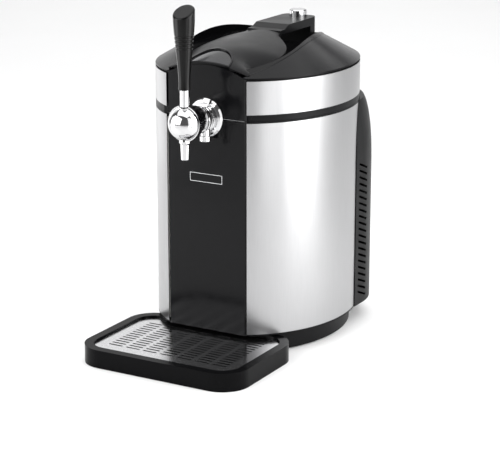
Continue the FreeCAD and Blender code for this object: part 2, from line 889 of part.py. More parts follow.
def spine_solid(drop, inset, low):
    wires = [spine_wire(station, drop, inset, low) for station in SPINE_STATIONS]
    return Part.makeLoft(wires, True, False)


def skin(solid, depth):
    """A layer of even depth under a solid's roof."""
    roof = max(solid.Faces, key=lambda face: face.CenterOfMass.z)
    return roof.extrude(Vector(0, 0, -depth))


def window_prism(grow):
    """The lens-shaped plan of the window in the spine's front slope."""
    half = 30.0 + grow
    front = -130.4 - grow
    back = -101.0 + grow
    left = Vector(-half, front, 300)
    right = Vector(half, front, 300)
    edges = [Part.Arc(left, Vector(0, back, 300), right), Part.LineSegment(right, left)]
    wire = Part.Wire([edge.toShape() for edge in edges])
    return Part.Face(wire).extrude(Vector(0, 0, 200))


SPINE_LOW = 355.0


def make_spine():
    floor = size("well_floor") + 0.1
    low = size("dome_low") + 0.1
    wall = size("spine_wall")
    inner = spine_solid(wall, wall, SPINE_LOW - 5).cut(block((-FAR, 8, 0), (FAR, FAR, FAR)))
    solid = spine_solid(0, 0, SPINE_LOW).cut(inner)
    solid = solid.cut(block((-FAR, -FAR, 0), (FAR, -PANEL_BACK, FAR)))
    solid = solid.cut(block((-FAR, -FAR, 0), (FAR, FAR, low)))
    solid = solid.cut(block((-FAR, 8 - size("front_flat"), 0), (FAR, FAR, floor)))
    solid = solid.cut(well_side(0.05))
    keep(computed("spine", solid.cut(window_prism(2))), "lid_spine")
    lens = skin(spine_solid(1.2, 0, SPINE_LOW).common(window_prism(-0.2)), 2)
    keep(computed("window", lens), "display_window")
    ring = window_prism(1.8).cut(window_prism(0))
    keep(computed("bezel", skin(spine_solid(-1.0, 0, SPINE_LOW).common(ring), 4.5)), "window_bezel")


# Handle bridge with the release button

def make_handle():
    half = size("handle_half_width")
    top = size("handle_top")
    under = top - size("handle_thickness")
    back = size("handle_back")
    leg = back - size("leg_depth")
    floor = size("well_floor") + 0.2
    start = 14.2
    side = [(start, under), (start, 402.2), (26, 402.6), (38, top), (back, top), (back, floor), (leg, floor), (leg, under)]
    corners = [Vector(-half, y, z) for y, z in side]
    solid = Part.Face(Part.makePolygon(corners + corners[:1])).extrude(Vector(2 * half, 0, 0))
    upright_edges = [edge for edge in solid.Edges if abs(edge.BoundBox.YMin - back) < 0.01
                     and edge.BoundBox.YLength < 0.01 and edge.BoundBox.XLength < 0.01]
    solid = solid.makeFillet(12, upright_edges)
    roof = dome_cone(-0.2, 300).cut(well_prism(0.1, 0, FAR))
    front = block((-FAR, -FAR, 0), (FAR, 60, FAR))
    solid = solid.cut(roof).cut(well_side(0.4).cut(front))
    button = Vector(0, size("button_place"), 0)
    solid = solid.cut(Part.makeCylinder(size("button_stem") + 0.2, FAR, button))
    solid = solid.cut(Part.makeCylinder(8.5, FAR, button + Vector(0, 0, 392)))
    solid = solid.cut(Part.makeCylinder(size("button_radius") + 0.4, FAR, button + Vector(0, 0, 402)))
    keep(computed("handle", solid), "lid_handle")


def make_button():
    low = "button_top - button_height"
    cap = turned("button", [
        ("0", "latch_level + 0.3 - button_stem + latch_arm_front"),
        ("button_stem", "latch_level + 0.3 - button_stem + latch_arm_front"),
        ("button_stem", low),
        ("button_radius", low),
        ("button_radius", "button_top - 1.2"),
        ("button_radius - 1.2", "button_top"),
        ("0", "button_top"),
    ])
    place(cap, y="button_place")
    keep(cut("button_slant", cap, computed("button_wedge", slant_below(0.3))), "release_button")
    spring = turned("button_coil", [
        ("5", "392.2"),
        ("7", "392.2"),
        ("7", low + " - 0.2"),
        ("5", low + " - 0.2"),
    ])
    place(spring, y="button_place")
    keep(spring, "button_spring")


def slant_below(gap):
    """All that lies under the stem's slanted end, a gap above the slant of the latch arm."""
    middle = size("button_place")
    level = size("latch_level") + size("latch_arm_front") + gap
    reach = 2 * size("button_stem")
    corners = [Vector(-reach, middle - reach, level - reach), Vector(-reach, middle + reach, level + reach),
               Vector(-reach, middle + reach, level - reach)]
    return Part.Face(Part.makePolygon(corners + corners[:1])).extrude(Vector(2 * reach, 0, 0))


# Latch bar, ceiling and insulation of the lid

def latch_arm():
    """The arm under the button. Its front slants at 45 degrees, so the stem drives the latch back."""
    side = -size("latch_side") - size("latch_width") / 2
    low = size("latch_level")
    high = low + size("latch_arm_height")
    front = size("button_place") - size("latch_arm_front")
    back = size("button_place") + size("latch_arm_back")
    corners = [Vector(side, front, low), Vector(side, back, low), Vector(side, back, high),
               Vector(side, front + high - low, high)]
    face = Part.Face(Part.makePolygon(corners + corners[:1]))
    return face.extrude(Vector(size("latch_arm_end") - side, 0, 0))


def make_latch():
    side = "-latch_side - latch_width/2"
    front = "-front_flat + 14"
    rail = box("latch_rail", side, front, "latch_level", "latch_width",
               "button_place + latch_arm_back + front_flat - 14", "latch_thickness")
    arm = computed("latch_arm", latch_arm())
    hook = box("latch_hook", side, front, "deck_low - 4", "latch_width", "3", "latch_level - deck_low + 4.5")
    keep(fuse("latch", rail, arm, hook), "latch_bar")


def latch_channel(gap):
    side = -size("latch_side") - size("latch_width") / 2 - gap
    front = LATCH_FRONT - gap
    back = size("button_place") + size("latch_arm_back") + size("button_travel") + gap
    low = size("latch_level") - gap
    high = size("latch_level") + size("latch_thickness") + gap
    rail = block((side, front, low), (side + size("latch_width") + 2 * gap, back, high))
    arm_front = size("button_place") - size("latch_arm_front") - gap
    arm_top = size("latch_level") + size("latch_arm_height") + gap
    arm = block((side, arm_front, low), (size("latch_arm_end") + gap, back, arm_top))
    drop = block((side, front, 0), (side + size("latch_width") + 2 * gap, front + 8 + 2 * gap, high))
    return rail.fuse([arm, drop])


def make_lid_inside():
    low = size("ceiling_low")
    mid = low + size("ceiling_wall")
    stem = Part.makeCylinder(size("button_stem") + 1, FAR, Vector(0, size("button_place"), mid))
    plate = oval(4.2, low, mid, PANEL_BACK - 3.2).cut(latch_channel(0.6))
    keep(computed("ceiling", plate), "lid_ceiling")
    foam = oval(4.6, mid + 0.2, size("band_top") - 0.4, PANEL_BACK - 3.6).cut(latch_channel(0.8)).cut(stem)
    keep(computed("lid_foam", foam), "lid_insulation")


# Hinge at the back

def body_clear(gap):
    return ellipse_prism(size("body_half_width") + gap, size("body_half_depth") + gap, 0, FAR)


def make_hinge():
    axis_y = size("body_half_depth") + size("hinge_behind")
    axis_z = size("hinge_level")
    radius = size("hinge_radius")
    half = size("hinge_half_width")
    knuckle = size("knuckle_half_width")
    across = Vector(1, 0, 0)
    low_part = block((-half, size("body_half_depth") - 8, HINGE_FOOT), (half, axis_y + radius, size("deck_top") - 0.1))
    low_part = low_part.cut(body_clear(0.3))
    ears = Part.makeCylinder(radius, 2 * half, Vector(-half, axis_y, axis_z), across)
    ears = ears.fuse(block((-half, axis_y - radius, size("deck_top") - 0.2), (half, axis_y + radius, axis_z)))
    gap = block((-knuckle - 0.3, axis_y - radius - 1, HINGE_FOOT + 6), (knuckle + 0.3, axis_y + radius + 1, FAR))
    pin_hole = Part.makeCylinder(size("hinge_pin") + 0.05, 3 * half, Vector(-1.5 * half, axis_y, axis_z), across)
    keep(computed("hinge_base", low_part.fuse(ears).cut(gap).cut(pin_hole)), "hinge_bracket")
    keep(computed("hinge_rod", Part.makeCylinder(size("hinge_pin"), 2 * half + 1,
                                                 Vector(-half - 0.5, axis_y, axis_z), across)), "hinge_pin")
    arm = Part.makeCylinder(radius, 2 * knuckle, Vector(-knuckle, axis_y, axis_z), across)
    plate = block((-knuckle, size("body_half_depth") - 8, axis_z + 2), (knuckle, axis_y, axis_z + 34))
    arm = arm.fuse(plate.cut(body_clear(0.05))).cut(pin_hole)
    keep(computed("hinge_leaf", arm), "lid_hinge_arm")


# Tap

def make_tap_fixed():
    flange = turned("flange", [
        ("shank_radius + 0.05", "0"),
        ("flange_radius", "0"),
        ("flange_radius", "1.6"),
        ("flange_radius - 2", "flange_depth - 1.4"),
        ("flange_radius - 5", "flange_depth"),
        ("shank_radius + 0.05", "flange_depth"),
    ])
    along_y(flange, "-front_flat - 0.1", "shank_level")
    keep(flange, "tap_flange")
    make_shank()
    make_collar()
    make_housing()
    make_spout()


def make_shank():
    shank = turned("shank", [
        ("shank_bore", "0"),
        ("shank_radius", "0"),
        ("shank_radius", "shank_outside + shank_inside"),
        ("shank_bore", "shank_outside + shank_inside"),
    ])
    along_y(shank, "-front_flat + shank_inside", "shank_level")
    keep(shank, "tap_shank")
    nut = padded("nut", "XZ_Plane", hexagon("nut_width"), "nut_depth")
    place(nut, y="-front_flat + panel_wall + nut_depth + 0.1", z="shank_level")
    bore = lying("nut_bore", "shank_radius + 0.05", "-front_flat", "40", z="shank_level")
    keep(cut("nut_ring", nut, bore), "shank_nut")
    make_elbow()


def make_elbow():
    """The barbed elbow on the shank's tail, which turns the beer line to the right."""
    body = lying("elbow_body", "elbow_radius", "-front_flat + shank_inside + 0.1", "elbow_depth", z="shank_level")
    barb = crosswise("elbow_barb", "hose_bore - 0.05", "0", "elbow_radius + 14", ELBOW_Y, HOSE_LEVEL)
    shoulder = crosswise("elbow_shoulder", "hose_radius", "0", "elbow_radius + 1", ELBOW_Y, HOSE_LEVEL)
    keep(fuse("elbow", body, shoulder, barb), "hose_elbow")


ELBOW_Y = "-front_flat + shank_inside + elbow_depth/2"
HOSE_LEVEL = "deck_top + coupler_radius + 0.4"


def hexagon(width):
    """Corners of a hexagon with this width across its flats."""
    points = []
    for number in range(6):
        angle = math.radians(60 * number)
        points.append((f"{width}/sqrt(3)*{math.cos(angle):.6f}", f"{width}/sqrt(3)*{math.sin(angle):.6f}"))
    return points


ADJUSTER_Y = "-front_flat - flange_depth - adjuster_forward"


def make_collar():
    """The ringed collar between the flange and the ball housing."""
    outline = [("shank_radius + 0.05", "0"), ("collar_radius", "0")]
    for number in range(3):
        start = 3 + 5.5 * number
        outline += [("collar_radius", f"{start}"), ("collar_radius - 1.8", f"{start + 0.8}"),
                    ("collar_radius - 1.8", f"{start + 2.4}"), ("collar_radius", f"{start + 3.2}")]
    outline += [("collar_radius", "19.5"), ("shank_radius + 0.05", "19.5")]
    collar = turned("collar", outline)
    along_y(collar, "-front_flat - flange_depth - 0.1", "shank_level")
    boss = upright("collar_boss", "adjuster_radius - 0.7", "adjuster_top + 0.1", "7", "adjuster_side", ADJUSTER_Y)
    keep(fuse("collar_with_boss", collar, boss), "tap_collar")


def make_housing():
    collar_end = "-front_flat - flange_depth - 19.6"
    ring_back = "-tap_reach + ring_depth - 3"
    cup = doc.addObject("Part::Cone", "cup_cone")
    bind(cup, Radius1="collar_radius", Radius2="ring_radius - 1",
         Height="(" + collar_end + ") - (" + ring_back + ")")
    cup.Placement = Placement(Vector(), Rotation(Vector(1, 0, 0), 90))
    place(cup, "0", collar_end, "tap_level")
    hollow = ball("cup_hollow", "ball_radius + 0.3", "-tap_reach", "tap_level")
    inlet = lying("cup_inlet", "shank_bore + 1", "-tap_reach", "60", z="shank_level")
    seat = lying("cup_seat", "shank_radius + 0.05", "-front_flat - flange_depth - 12 - 0.1", "60", z="shank_level")
    keep(cut("cup", cup, hollow, inlet, seat), "tap_housing")
    ring_front = "-tap_reach - 2.6"
    ring = lying("ring_disc", "ring_radius", ring_front, "(" + ring_back + ") - (" + ring_front + ")", z="tap_level")
    hollow_ring = ball("ring_hollow", "ball_radius + 0.3", "-tap_reach", "tap_level")
    notch = box("ring_notch", "-stem_radius - 0.5", "-tap_reach - 20", "tap_level", "2*stem_radius + 1", "27", "40")
    drain = upright("ring_drain", "3", "tap_level - 40", "40", y="-tap_reach")
    pivot = crosswise("ring_pivot", "1.55", "-40", "80", "-tap_reach", "tap_level")
    keep(cut("ring", ring, hollow_ring, notch, drain, pivot), "tap_ring")
    keep(crosswise("pivot_pin", "1.5", "-ring_radius + 0.3", "2*ring_radius - 0.6", "-tap_reach", "tap_level"),
         "tap_pivot_pin")


def make_spout():
    spout = turned("spout", [
        ("3.2", "spout_low"),
        ("spout_tip", "spout_low"),
        ("spout_radius", "spout_top - 5"),
        ("spout_radius + 1.4", "spout_top - 3"),
        ("spout_radius + 1.4", "spout_top"),
        ("3.2", "spout_top"),
    ])
    place(spout, y="-tap_reach")
    clear = lying("spout_clear", "ring_radius + 0.05", "-tap_reach - 30", "60", z="tap_level")
    keep(cut("spout_cut", spout, clear), "tap_spout")


def make_tap_moving():
    core = ball("lever_ball", "ball_radius", "-tap_reach", "tap_level")
    pin_bore = crosswise("lever_bore", "1.56", "-40", "80", "-tap_reach", "tap_level")
    socket = upright("lever_socket", "stem_radius - 2", "tap_level + 8", "30", y="-tap_reach")
    keep(cut("lever_core", core, pin_bore, socket), "tap_ball")
    stem = turned("stem", [
        ("0", "tap_level + 8.1"),
        ("stem_radius - 2.05", "tap_level + 8.1"),
        ("stem_radius - 2.05", "tap_level + ball_radius + 0.2"),
        ("stem_radius", "tap_level + ball_radius + 0.2"),
        ("stem_radius", "stem_top"),
        ("stem_radius - 2", "stem_top"),
        ("stem_radius - 2", "stem_top + 30"),
        ("0", "stem_top + 30"),
    ])
    place(stem, y="-tap_reach")
    keep(stem, "tap_stem")
    make_lever()


LEVER_STATIONS = (
    # share of the lever's height, radius
    (0.0, 7.5), (0.1, 7.4), (0.28, 8.6), (0.46, 10.5), (0.66, 12.6), (0.85, 13.8), (1.0, 13.7),
)


def make_lever():
    low = size("stem_top") + 0.1
    tall = size("lever_top") - low
    reach = -size("tap_reach")
    circles = []
    for share, radius in LEVER_STATIONS:
        circle = Part.Circle(Vector(0, reach, low + share * tall), Vector(0, 0, 1), radius)
        circles.append(Part.Wire([circle.toShape()]))
    solid = Part.makeLoft(circles, True, False)
    for number in range(4):
        level = low + tall * 0.49 + 5 * number
        radius = 10.9 + 0.45 * number
        ring = Part.makeTorus(radius + 0.6, 1.3, Vector(0, reach, level))
        solid = solid.cut(ring)
    slope = block((-FAR, -FAR, 0), (FAR, FAR, FAR))
    slope.rotate(Vector(), Vector(1, 0, 0), 30)
    slope.translate(Vector(0, reach + LEVER_STATIONS[-1][1] + 0.3, size("lever_top")))
    solid = solid.cut(slope)
    top_edges = [edge for edge in solid.Edges if edge.BoundBox.ZMax > size("lever_top") - 3]
    solid = solid.makeFillet(2.5, top_edges)
    bore = Part.makeCylinder(size("stem_radius") - 1.95, 31, Vector(0, reach, low - 0.1))
    keep(computed("lever", solid.cut(bore)), "tap_handle")


def make_plunger():
    rod = lying("plunger_rod", "2.5", "-front_flat - flange_depth - 21", "30", z="shank_level")
    head = lying("plunger_head", "4.4", "-front_flat + 3", "5", z="shank_level")
    keep(fuse("plunger", rod, head), "valve_plunger")


def make_adjuster():
    """The small flow adjuster under the collar's boss."""
    knob = turned("adjuster", [
        ("0", "adjuster_low"),
        ("adjuster_radius - 1", "adjuster_low"),
        ("adjuster_radius", "adjuster_low + 1"),
        ("adjuster_radius", "adjuster_top - 2"),
        ("adjuster_radius - 1.2", "adjuster_top - 1"),
        ("adjuster_radius - 1.2", "adjuster_top"),
        ("0", "adjuster_top"),
    ])
    place(knob, "adjuster_side", ADJUSTER_Y)
    keep(knob, "flow_adjuster")


# Hose from the elbow to the keg coupler, parked on the deck

HOSE_ROUTE = ((8.8, -118.0), (29.0, -118.2), (47.0, -113.5), (63.0, -103.5), (75.0, -89.5), (82.5, -72.0))


def hose_points():
    level = worth(HOSE_LEVEL)
    return [Vector(x, y, level) for x, y in HOSE_ROUTE]


def make_hose():
    points = hose_points()
    path = rounded_path(points)
    start = points[0]
    direction = (points[1] - points[0]).normalize()
    outer = Part.Wire([Part.Circle(start, direction, size("hose_radius")).toShape()])
    inner = Part.Wire([Part.Circle(start, direction, size("hose_bore")).toShape()])
    tube = path.makePipeShell([outer], True, True)
    bore = path.makePipeShell([inner], True, True)
    keep(computed("hose", tube.cut(bore)), "beer_hose")
    section = math.pi * (size("hose_radius") ** 2 - size("hose_bore") ** 2)
    print("hose volume", round(tube.cut(bore).Volume, 1), "section times length", round(section * path.Length, 1))


def make_coupler():
    """The coupler that plugs on the keg, lying in its clip on the deck."""
    points = hose_points()
    end = points[-1]
    direction = (end - points[-2]).normalize()
    radius = size("coupler_radius")
    length = size("coupler_length")
    start = end + direction * 0.1
    solid = Part.makeCylinder(radius, length, start, direction)
    solid = solid.fuse(Part.makeCylinder(radius - 2, 8, start + direction * length, direction))
    solid = solid.fuse(Part.makeCylinder(size("hose_bore") - 0.05, 12, end - direction * 11, direction))
    keep(computed("coupler", solid), "keg_coupler")
    level = size("deck_top")
    seat = block((-5, -radius - 2, 0.1), (5, radius + 2, radius + 4))
    seat.rotate(Vector(), Vector(0, 0, 1), math.degrees(math.atan2(direction.y, direction.x)))
    middle = start + direction * (length / 2)
    seat.translate(Vector(middle.x, middle.y, level))
    channel = Part.makeCylinder(radius + 0.1, 2 * length, start - direction * length / 2, direction)
    keep(computed("clip", seat.cut(channel)), "coupler_clip")


def rounded_path(points):
    """Straight runs joined by tangent arcs."""
    edges = []
    last = points[0]
    for before, corner, after in zip(points, points[1:], points[2:]):
        inward = (before - corner).normalize()
        outward = (after - corner).normalize()
        turn = math.pi - inward.getAngle(outward)
        run = min((before - corner).Length, (after - corner).Length)
        setback = 0.45 * run
        radius = setback / math.tan(turn / 2)
        print("hose arc radius", round(radius, 1))
        start = corner + inward * setback
        end = corner + outward * setback
        bisector = (inward + outward).normalize()
        middle = corner + bisector * (radius / math.cos(turn / 2) - radius)
        edges.append(Part.LineSegment(last, start).toShape())
        edges.append(Part.Arc(start, middle, end).toShape())
        last = end
    edges.append(Part.LineSegment(last, points[-1]).toShape())
    return Part.Wire(edges)


# Drip tray and its grid

def rounded_slab(half_width, front, back, low, high, corner):
    slab = block((-half_width, -front, low), (half_width, -back, high))
    upright_edges = [edge for edge in slab.Edges if edge.BoundBox.ZLength > high - low - 0.01]
    return slab.makeFillet(corner, upright_edges)


def make_tray():
    half = size("tray_half_width")
    front = size("tray_front")
    back = size("tray_back")
    high = size("tray_height")
    corner = size("tray_corner")
    wall = size("tray_wall")
    ledge = size("tray_ledge")
    level = size("grid_level")
    body = rounded_slab(half, front, back, 0, high, corner)
    seat = rounded_slab(half - ledge, front - ledge, back + ledge, level, high + 1, corner - ledge)
    well = rounded_slab(half - ledge - 4, front - ledge - 4, back + ledge + 4, wall, high + 1, corner - ledge - 4)
    inner = ledge + 4 - wall
    under = rounded_slab(half - wall, front - wall, back + wall, -1, level - wall, corner - wall)
    core = rounded_slab(half - inner, front - inner, back + inner, -2, level, corner - inner)
    keep(computed("tray", body.cut(seat).cut(well).cut(under.cut(core))), "drip_tray")


def make_grid():
    half = size("tray_half_width") - size("tray_ledge") - 0.4
    front = size("tray_front") - size("tray_ledge") - 0.4
    back = size("tray_back") + size("tray_ledge") + 0.4
    low = size("grid_level") + 0.05
    plate = rounded_slab(half, front, back, low, low + size("grid_thickness"), size("tray_corner") - size("tray_ledge") - 0.4)
    middle = -(front + back) / 2
    columns = int(size("slot_columns"))
    rows = int(size("slot_rows"))
    slots = []
    for column in range(columns):
        for line in range(rows):
            x = size("slot_pitch_x") * (column - (columns - 1) / 2)
            y = middle + size("slot_pitch_y") * (line - (rows - 1) / 2)
            slots.append(slot_cutter(x, y, low))
    keep(computed("grid", plate.cut(Part.makeCompound(slots))), "drip_grid")


def slot_cutter(x, y, low):
    half = size("slot_length") / 2
    radius = size("slot_width") / 2
    straight = half - radius
    slot = block((x - straight, y - radius, low - 1), (x + straight, y + radius, low + 5))
    ends = [Part.makeCylinder(radius, 6, Vector(x + side * straight, y, low - 1)) for side in (-1, 1)]
    return slot.fuse(ends)


def write_parts():
    doc.recompute()
    faults = [thing.Name for thing in doc.Objects if {"Invalid", "Error"} & set(thing.State)]
    if faults:
        raise RuntimeError("features failed: " + ", ".join(faults))
    for thing in SUB_PARTS:
        if thing.Shape.isNull() or not thing.Shape.isValid():
            raise RuntimeError("bad shape: " + thing.Label)
    os.makedirs("parts", exist_ok=True)
    for thing in SUB_PARTS:
        thing.Shape.exportStep(f"parts/{thing.Label}.step")
        print(thing.Label, len(thing.Shape.Solids), round(thing.Shape.Volume, 1))


make_plinth()
make_feet()
make_bottom_rim()
make_shell()
make_lower_panel()
make_deck()
make_foam()
make_liner()
make_cooling_unit()
make_electronics()
make_rear_cover()
make_inlet()
make_lid_frame()
make_lid_seal()
make_lid_band()
make_upper_panel()
make_dome()
make_well()
make_spine()
make_handle()
make_button()
make_latch()
make_lid_inside()
make_hinge()
make_tap_fixed()
make_tap_moving()
make_plunger()
make_adjuster()
make_hose()
make_coupler()
make_tray()
make_grid()
write_parts()
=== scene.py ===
import json
import math

import bpy
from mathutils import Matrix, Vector


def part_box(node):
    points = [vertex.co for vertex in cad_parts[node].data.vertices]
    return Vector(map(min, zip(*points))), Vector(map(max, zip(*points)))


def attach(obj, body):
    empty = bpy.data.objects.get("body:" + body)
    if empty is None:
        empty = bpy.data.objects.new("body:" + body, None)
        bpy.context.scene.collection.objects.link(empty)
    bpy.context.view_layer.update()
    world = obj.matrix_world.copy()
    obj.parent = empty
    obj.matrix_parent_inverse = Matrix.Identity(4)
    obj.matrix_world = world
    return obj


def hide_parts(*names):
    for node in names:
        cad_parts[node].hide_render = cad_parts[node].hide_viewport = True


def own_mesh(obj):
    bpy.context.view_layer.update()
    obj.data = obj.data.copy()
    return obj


# Looks of a mini keg beer dispenser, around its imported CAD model. Metres.

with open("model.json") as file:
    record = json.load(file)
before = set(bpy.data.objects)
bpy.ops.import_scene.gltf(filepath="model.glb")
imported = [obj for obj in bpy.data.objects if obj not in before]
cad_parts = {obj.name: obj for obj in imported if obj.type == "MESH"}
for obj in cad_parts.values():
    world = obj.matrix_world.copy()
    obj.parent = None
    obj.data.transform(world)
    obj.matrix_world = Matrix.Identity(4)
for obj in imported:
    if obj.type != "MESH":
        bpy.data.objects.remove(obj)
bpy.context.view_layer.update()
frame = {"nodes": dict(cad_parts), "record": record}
NODES = frame["nodes"]


MM = 0.001

# Faces that meet at more than this stay sharp.
SHARP_FROM = math.radians(35)

# The button's return spring.
SPRING_WIRE = 0.5 * MM
SPRING_TURNS = 7

# Screws of the rear cover, two on each side.
SCREW_RADIUS = 3.2 * MM
SCREW_ACROSS = 58 * MM
SCREW_LEVELS = (60 * MM, 235 * MM)

# The outline of the blank plate on the front panel.
BADGE_X = (-24.8 * MM, 23.2 * MM)
BADGE_Z = (225.5 * MM, 237.0 * MM)
BADGE_LINE = 0.6 * MM
BADGE_PROUD = 0.12 * MM
BADGE_SUNK = 0.02 * MM

# A pale strip in the parting line between the two front panels, on each side of the tap: a painted
# highlight for the gleam off the panels' edges at the seam.
HIGHLIGHT_FROM = 12.5 * MM
HIGHLIGHT_TO = 56 * MM
HIGHLIGHT_SET_BACK = 0.1 * MM
HIGHLIGHT_DEPTH = 3 * MM
HIGHLIGHT_ABOVE = (0.06 * MM, 0.38 * MM)
HIGHLIGHT_BEVEL = 0.05 * MM

# Chips on the control board, in millimetres: left edge, foot, width, height, depth.
CHIPS = (
    (-50, 78, 22, 12, 3),
    (-10, 92, 12, 12, 2),
    (14, 70, 16, 9, 8),
    (-36, 100, 10, 6, 4),
    (25, 96, 14, 10, 12),
)
CHIP_BEVEL = 0.4 * MM

# Cans on the control board: middles across and up, in millimetres, and the radii and heights of one.
CANS = ((-58, 62), (-44, 62), (2, 58), (30, 84))
CAN_OUTLINE = ((4 * MM, 0), (4 * MM, 9 * MM), (3.6 * MM, 10 * MM))

# The photo's camera.
CAMERA_PLACE = (1.184, -2.094, 0.812)
CAMERA_ROUND = math.radians(29.76)
CAMERA_DOWN = math.radians(15.74)
CAMERA_LENS = 131.98
CAMERA_SENSOR = 36.0

# The studio. The pale wall stands the way the camera looks.
FLOOR_RADIUS = 14.0
WALL_DIRECTION = (-math.sin(CAMERA_ROUND), math.cos(CAMERA_ROUND), 0)
ROOM_GREY = (0.13, 0.13, 0.132, 1)
WALL_PALE = (0.95, 0.95, 0.955, 1)


# Node trees

def add_node(tree, kind, values=None, **settings):
    """Add a node to a tree. A value is a constant or another node's output."""
    node = tree.nodes.new("ShaderNode" + kind)
    for name, setting in settings.items():
        setattr(node, name, setting)
    for name, value in (values or {}).items():
        if isinstance(value, bpy.types.NodeSocket):
            tree.links.new(value, node.inputs[name])
        else:
            node.inputs[name].default_value = value
    return node


class Graph:
    """The node tree of one material, with short calls that add nodes and link them."""

    def __init__(self, name):
        self.material = bpy.data.materials.new(name)
        self.material.use_nodes = True
        self.tree = self.material.node_tree
        self.tree.nodes.clear()
        self.coordinates = self.add("TexCoord").outputs["Object"]

    def add(self, kind, values=None, **settings):
        return add_node(self.tree, kind, values, **settings)

    def noise(self, scale, detail=3.0, roughness=0.5):
        """Noise from 0 to 1. The scale is in waves per metre along X, Y and Z."""
        place = self.add("Mapping", {"Vector": self.coordinates, "Scale": scale}).outputs["Vector"]
        values = {"Vector": place, "Scale": 1.0, "Detail": detail, "Roughness": roughness}
        return self.add("TexNoise", values).outputs["Fac"]

    def cells(self, scale):
        """The distance to the nearest point of a scatter, for the beads of foam."""
        values = {"Vector": self.coordinates, "Scale": scale}
        return self.add("TexVoronoi", values).outputs["Distance"]

    def between(self, share, low, high, start=0.3, stop=0.7):
        """Spread a share, which is mostly between start and stop, over the range from low to high."""
        values = {"Value": share, "From Min": start, "From Max": stop, "To Min": low, "To Max": high}
        return self.add("MapRange", values).outputs["Result"]

    def blend(self, share, first, second):
        """A colour between two colours."""
        node = self.add("Mix", data_type="RGBA")
        self.tree.links.new(share, node.inputs["Factor"])
        node.inputs["A"].default_value = (*first, 1)
        node.inputs["B"].default_value = (*second, 1)
        return node.outputs["Result"]

    def bump(self, height, strength, depth):
        values = {"Height": height, "Strength": strength, "Distance": depth}
        return self.add("Bump", values).outputs["Normal"]

    def finish(self, values):
        """Close the graph with its surface shader."""
        shader = self.add("BsdfPrincipled", values)
        self.add("OutputMaterial", {"Surface": shader.outputs["BSDF"]})
        return self.material


def even(scale):
    return (scale, scale, scale)


# Materials

def brushed_steel():
    """Sheet with an upright grain: fine lines, soft reflections."""
    graph = Graph("brushed_steel")
    lines = graph.noise((2600, 2600, 30), detail=5.0, roughness=0.65)
    patches = graph.noise((14, 14, 5), detail=2.0)
    tangent = graph.add("Tangent", direction_type="RADIAL", axis="Z").outputs["Tangent"]
    return graph.finish({
        "Base Color": graph.blend(lines, (0.36, 0.36, 0.365), (0.46, 0.46, 0.465)),
        "Metallic": 1.0,
        "Roughness": graph.between(patches, 0.27, 0.32),
        "Anisotropic": 0.35,
        "Tangent": tangent,
        "Normal": graph.bump(lines, 0.12, 0.00006),
    })


def polished_steel():
    """Rolled plate with a faint grain across."""
    graph = Graph("polished_steel")
    lines = graph.noise((40, 2200, 2200), detail=4.0)
    return graph.finish({
        "Base Color": graph.blend(lines, (0.72, 0.72, 0.73), (0.8, 0.8, 0.81)),
        "Metallic": 1.0,
        "Roughness": graph.between(lines, 0.12, 0.22),
        "Normal": graph.bump(lines, 0.06, 0.00004),
    })


def chrome():
    """Plated brass: a mirror with the slightest haze and waviness."""
    graph = Graph("chrome")
    haze = graph.noise(even(220), detail=4.0)
    wave = graph.noise(even(35), detail=1.0)
    return graph.finish({
        "Base Color": graph.blend(haze, (0.6, 0.6, 0.605), (0.66, 0.66, 0.665)),
        "Metallic": 1.0,
        "Roughness": graph.between(haze, 0.03, 0.06),
        "Normal": graph.bump(wave, 0.05, 0.0003),
    })


def gloss_plastic(name, colour, roughness, shine=0.15):
    """Polished moulding with a few dull patches and a faint ripple."""
    graph = Graph(name)
    patches = graph.noise(even(60), detail=5.0)
    ripple = graph.noise(even(26), detail=1.0)
    lighter = tuple(1.35 * part for part in colour)
    return graph.finish({
        "Base Color": graph.blend(patches, colour, lighter),
        "Roughness": graph.between(patches, roughness, roughness + 0.05),
        "Specular IOR Level": shine,
        "Normal": graph.bump(ripple, 0.04, 0.0004),
    })


def moulded_plastic(name, colour, roughness, texture=2400, relief=0.12):
    """Satin moulding with a fine spark-eroded texture."""
    graph = Graph(name)
    grain = graph.noise(even(texture), detail=2.0)
    patches = graph.noise(even(30), detail=4.0)
    lighter = tuple(1.3 * part for part in colour)
    return graph.finish({
        "Base Color": graph.blend(patches, colour, lighter),
        "Roughness": graph.between(patches, roughness, roughness + 0.08),
        "Specular IOR Level": 0.1,
        "Normal": graph.bump(grain, relief, 0.00008),
    })


def rubber():
    """Dull rubber with a little dust."""
    graph = Graph("rubber")
    dust = graph.noise(even(300), detail=6.0)
    return graph.finish({
        "Base Color": graph.blend(dust, (0.012, 0.012, 0.012), (0.035, 0.034, 0.033)),
        "Roughness": graph.between(dust, 0.7, 0.85),
        "Normal": graph.bump(dust, 0.2, 0.0001),
    })


def bead_foam():
    """Expanded foam with its pressed beads."""
    graph = Graph("bead_foam")
    beads = graph.cells(260)
    return graph.finish({
        "Base Color": graph.blend(beads, (0.8, 0.79, 0.75), (0.9, 0.89, 0.86)),
        "Roughness": graph.between(beads, 0.75, 0.9, 0.0, 0.8),
        "Normal": graph.bump(beads, 0.35, 0.0006),
    })


def aluminium():
    """Drawn aluminium with fine lines round it."""
    graph = Graph("aluminium")
    lines = graph.noise((60, 60, 1800), detail=4.0)
    return graph.finish({
        "Base Color": graph.blend(lines, (0.68, 0.69, 0.7), (0.78, 0.79, 0.8)),
        "Metallic": 1.0,
        "Roughness": graph.between(lines, 0.3, 0.42),
        "Normal": graph.bump(lines, 0.1, 0.00005),
    })


def ceramic():
    """The white plates of the cooling module."""
    graph = Graph("ceramic")
    grains = graph.noise(even(900), detail=3.0)
    return graph.finish({
        "Base Color": graph.blend(grains, (0.82, 0.82, 0.79), (0.9, 0.9, 0.88)),
        "Roughness": graph.between(grains, 0.45, 0.6),
        "Normal": graph.bump(grains, 0.08, 0.00004),
    })


